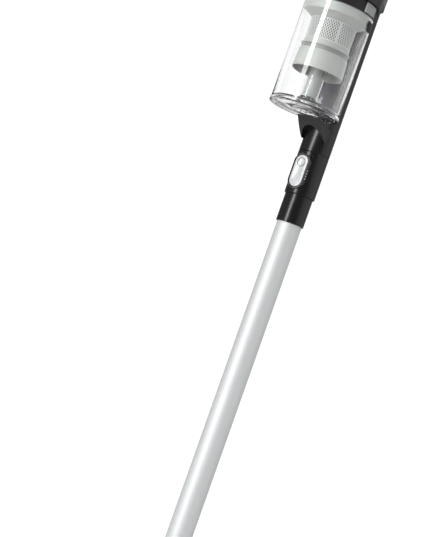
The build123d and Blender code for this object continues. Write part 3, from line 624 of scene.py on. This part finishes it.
def release_button():
    """Silver thumb button with a dimple, a grey ring of painted shade round the dimple, its
    black frame and a bright line round it.
    """
    half_h = (button_high.z - button_low.z) / 2
    half_w = (button_high.x - button_low.x) / 2
    face = -button_low.y
    bend, crown, small = 1.6 * MM, 0.3 * MM, 0.3 * MM
    back, back_edge = 19.15 * MM, 19.3 * MM
    bend_steps, face_steps = 6, 18
    dimple_z = 11.0 * MM
    levels = [(half_h - half_w * part, half_w * (1 - part), back, True)
              for part in (0.97, 0.75, 0.5, 0.25)]
    levels += [(half_h - small, half_w - small, back, True),
               (half_h, half_w, back_edge, True), (half_h, half_w, face - bend - crown, False)]
    for step in range(bend_steps + 1):
        angle = math.pi / 2 * step / bend_steps
        inset = bend * (1 - math.cos(angle))
        levels.append((half_h - inset, half_w - inset,
                       face - crown - bend * (1 - math.sin(angle)), False))
    for step in range(1, face_steps + 1):
        part = step / face_steps
        inset = bend + (half_w - bend) * part
        levels.append((half_h - inset, half_w - inset, face - crown * (1 - part) ** 2, False))
    cap = capsule_piece("release_button_cap", levels, SILVER, "release",
                        button_mid, dimple=(dimple_z, 5.4 * MM, 1.7 * MM))
    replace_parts(cap, "release_button")
    # grey ring round the dimple: painted shade marking the dimple's shaded edge
    grid = bmesh.new()
    rings = []
    segments, inner, outer, behind = 48, 5.0 * MM, 5.6 * MM, -22.0 * MM
    for turn in range(segments):
        angle = TAU * turn / segments
        rings.append([grid.verts.new((r * math.cos(angle), y,
                                      button_mid.z + dimple_z + r * math.sin(angle)))
                      for r, y in ((inner, behind), (inner, -22.52 * MM),
                                   (outer, -22.5 * MM), (outer, behind))])
    for one, two in zip(rings, rings[1:] + rings[:1]):
        for k in range(4):
            grid.faces.new((one[k], one[(k + 1) % 4], two[(k + 1) % 4], two[k]))
    to_object("thumb_ring_painted_shade", grid, PAINTED_SHADE_GREY, "release")

    def frame_ring(name, outer, inner, back, front, finish):
        """Closed ring between two capsules, from the wand's pocket to a flat face."""
        edge = 0.35 * MM
        rings = [(half_h + inner, half_w + inner, back, True),
                 (half_h + outer, half_w + outer, back, True),
                 (half_h + outer, half_w + outer, front - edge, False),
                 (half_h + outer - edge * 0.3, half_w + outer - edge * 0.3, front - edge * 0.3,
                  False),
                 (half_h + outer - edge, half_w + outer - edge, front, False),
                 (half_h + inner + edge * 0.4, half_w + inner + edge * 0.4, front, False),
                 (half_h + inner, half_w + inner, front - edge * 0.4, False)]
        return capsule_piece(name, rings, finish, "wand", button_mid, closed=True)

    bezel = frame_ring("bezel_frame", outer=2.15 * MM, inner=0.95 * MM, back=17.05 * MM,
                       front=21.6 * MM, finish=BLACK)
    notches, notch_pitch, notch_tall = 4, 3.4, 1.3 * MM
    for notch in range(notches):
        z = button_mid.z + (1.5 - notch_pitch * notch) * MM
        cut(bezel, box_piece((10.2 * MM, -20.4 * MM, z), (12 * MM, -17.6 * MM, z + notch_tall)))
    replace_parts(bezel, "button_bezel")
    frame_ring("bezel_bright_line", outer=2.0 * MM, inner=1.55 * MM, back=19.0 * MM,
               front=21.75 * MM, finish=CHROME)


release_button()

# ------------------------------------ floor head ------------------------------------


def bristle_rows():
    """Four helical rows of tufts on the brush roll."""
    grid = bmesh.new()
    rows, tufts, blades = 4, 52, 5
    wrap, splay, bow = math.pi * 0.9, 0.035, 0.05
    first, last = roll_low.x + 5 * MM, roll_high.x - 5 * MM
    reach = min((bristle_high.z - bristle_low.z) / 2, roll_mid.z - 0.4 * MM, 22.4 * MM)
    for row in range(rows):
        for tuft in range(tufts):
            along = first + (last - first) * tuft / (tufts - 1)
            turn = TAU * row / rows + wrap * tuft / tufts
            for blade in range(blades):
                lean = (blade - blades // 2) * splay
                x = along + (blade % 3 - 1) * 0.9 * MM
                ring = []
                for r, wide, bend in ((ROLL_R - 0.4 * MM, 0.42, 0), (19.5 * MM, 0.40, 0.4),
                                      (reach, 0.18, 1.0)):
                    angle = turn + lean * bend + bow * bend
                    mid = Vector((x, roll_mid.y + r * math.sin(angle),
                                  roll_mid.z + r * math.cos(angle)))
                    side = Vector((0, math.cos(angle), -math.sin(angle))) * wide * MM
                    ahead = Vector((wide * MM, 0, 0))
                    ring.append([grid.verts.new(mid + d) for d in (side, ahead, -side, -ahead)])
                for one, two in zip(ring, ring[1:]):
                    for k in range(4):
                        grid.faces.new((one[k], one[(k + 1) % 4], two[(k + 1) % 4], two[k]))
                grid.faces.new(ring[0])
                grid.faces.new(ring[-1])
    piece = to_object("bristle_tufts", grid, BRISTLE, "brush")
    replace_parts(piece, "brush_bristles")


bristle_rows()

# ---------------------------------- camera and stage ----------------------------------

AZIMUTH = math.radians(33.37)
ELEVATION = math.radians(-1.33)
CAMERA_ROLL = math.radians(19.51)
DISTANCE = 1.856
SIDE = -0.0437
AIM_Z = 0.4654
FOCAL_PIXELS = 1503
SHIFT_PIXELS = 60
PICTURE = (430, 537)
SURROUND = ((0.0, 0.17), (0.08, 0.18), (0.22, 0.62), (0.6, 0.68), (0.78, 0.3), (1.0, 0.3))
LEFT_SHADE = 0.45
BACKDROP = (0.55, 1.14)
RIGHT_FILL = 0.9


def camera():
    """Level studio camera with a long lens, rolled so that the cleaner leans right."""
    back = Vector((math.sin(AZIMUTH) * math.cos(ELEVATION),
                   -math.cos(AZIMUTH) * math.cos(ELEVATION), math.sin(ELEVATION)))
    across = Vector((math.cos(AZIMUTH), math.sin(AZIMUTH), 0))
    upward = back.cross(across)
    aim = across * SIDE + Vector((0, 0, AIM_Z))
    turn = Matrix((across, upward, back)).transposed().to_4x4()
    data = bpy.data.cameras.new("camera")
    data.sensor_fit = "VERTICAL"
    data.sensor_height = 24
    data.lens = FOCAL_PIXELS * data.sensor_height / PICTURE[1]
    data.shift_y = SHIFT_PIXELS / PICTURE[1]
    data.clip_end = 50
    data.dof.use_dof = False
    eye = bpy.data.objects.new("camera", data)
    bpy.context.collection.objects.link(eye)
    eye.matrix_world = (Matrix.Translation(aim + back * DISTANCE) @ turn
                        @ Matrix.Rotation(CAMERA_ROLL, 4, "Z"))
    bpy.context.scene.camera = eye


def lamp(name, place, aim, size, power, tall=None):
    """Soft rectangular studio light."""
    data = bpy.data.lights.new(name, "AREA")
    data.shape = "RECTANGLE"
    data.size = size
    data.size_y = tall or size
    data.energy = power
    lit = bpy.data.objects.new(name, data)
    bpy.context.collection.objects.link(lit)
    lit.location = place
    lit.rotation_euler = (Vector(aim) - Vector(place)).to_track_quat("-Z", "Y").to_euler()


def world():
    """White backdrop seen directly and through clear parts, and a graded room for reflections.

    SURROUND is the room's brightness from the camera's side (0) to the far side (1).
    """
    made = bpy.data.worlds.new("studio")
    made.use_nodes = True
    nodes, links = made.node_tree.nodes, made.node_tree.links
    where = nodes.new("ShaderNodeTexCoord")

    def along(direction, low, high):
        """How far a direction of view turns to an axis, as 0 to 1 between two limits."""
        turned_to = nodes.new("ShaderNodeVectorMath")
        turned_to.operation = "DOT_PRODUCT"
        turned_to.inputs[1].default_value = direction
        links.new(where.outputs["Generated"], turned_to.inputs[0])
        part = nodes.new("ShaderNodeMapRange")
        part.inputs["From Min"].default_value = low
        part.inputs["From Max"].default_value = high
        links.new(turned_to.outputs["Value"], part.inputs["Value"])
        return part

    depth = along((-math.sin(AZIMUTH), math.cos(AZIMUTH), 0), -1, 1)
    ramp = nodes.new("ShaderNodeValToRGB")
    ramp.color_ramp.interpolation = "EASE"
    for spot, grey in SURROUND[1:-1]:
        ramp.color_ramp.elements.new(spot).color = (grey, grey, grey, 1)
    for end in (0, -1):
        grey = SURROUND[end][1]
        ramp.color_ramp.elements[end].color = (grey, grey, grey, 1)
    links.new(depth.outputs["Result"], ramp.inputs["Fac"])
    side = along((math.cos(AZIMUTH), math.sin(AZIMUTH), 0), -0.9, -0.3)
    side.inputs["To Min"].default_value = LEFT_SHADE
    shade = nodes.new("ShaderNodeMath")
    shade.operation = "MULTIPLY"
    links.new(ramp.outputs["Color"], shade.inputs[0])
    links.new(side.outputs["Result"], shade.inputs[1])
    backdrop = along((-math.sin(AZIMUTH), math.cos(AZIMUTH), 0), 0.25, 0.6)
    backdrop.inputs["To Min"].default_value = BACKDROP[0]
    backdrop.inputs["To Max"].default_value = BACKDROP[1]
    fill = along((math.cos(AZIMUTH), math.sin(AZIMUTH), 0), 0.35, 0.9)
    fill.inputs["To Max"].default_value = RIGHT_FILL
    lit = nodes.new("ShaderNodeMath")
    links.new(backdrop.outputs["Result"], lit.inputs[0])
    links.new(fill.outputs["Result"], lit.inputs[1])
    ray = nodes.new("ShaderNodeLightPath")
    seen = nodes.new("ShaderNodeMath")
    seen.operation = "MAXIMUM"
    links.new(ray.outputs["Is Camera Ray"], seen.inputs[0])
    links.new(ray.outputs["Is Transmission Ray"], seen.inputs[1])
    chosen = nodes.new("ShaderNodeMix")
    links.new(seen.outputs["Value"], chosen.inputs["Factor"])
    links.new(shade.outputs["Value"], chosen.inputs["A"])
    links.new(lit.outputs["Value"], chosen.inputs["B"])
    links.new(chosen.outputs["Result"], nodes["Background"].inputs["Strength"])
    nodes["Background"].inputs["Color"].default_value = (1, 1, 1, 1)
    bpy.context.scene.world = made
    bpy.context.scene.view_settings.view_transform = "Standard"


def around(bearing, distance, height):
    """Place at a bearing left (negative) or right of the camera, seen from the cleaner."""
    angle = AZIMUTH + math.radians(bearing)
    return math.sin(angle) * distance, -math.cos(angle) * distance, height


def stage():
    """Round pale floor and soft studio lights."""
    grid = bmesh.new()
    bmesh.ops.create_circle(grid, cap_ends=True, segments=96, radius=0.8)
    shape = bpy.data.meshes.new("floor")
    grid.to_mesh(shape)
    grid.free()
    floor = bpy.data.objects.new("floor", shape)
    bpy.context.collection.objects.link(floor)
    shape.materials.append(material("floor_paper", (0.86, 0.86, 0.86), 0.7, grain=300, bump=0.05,
                                    spread=0.01))
    lamp("strip", around(-42, 2.0, 0.75), aim=(0, 0, 0.7), size=0.5, power=30, tall=2.6)
    lamp("top", (0.2, 0.3, 2.6), aim=(0, 0, 0.8), size=1.4, power=14)


camera()
world()
stage()
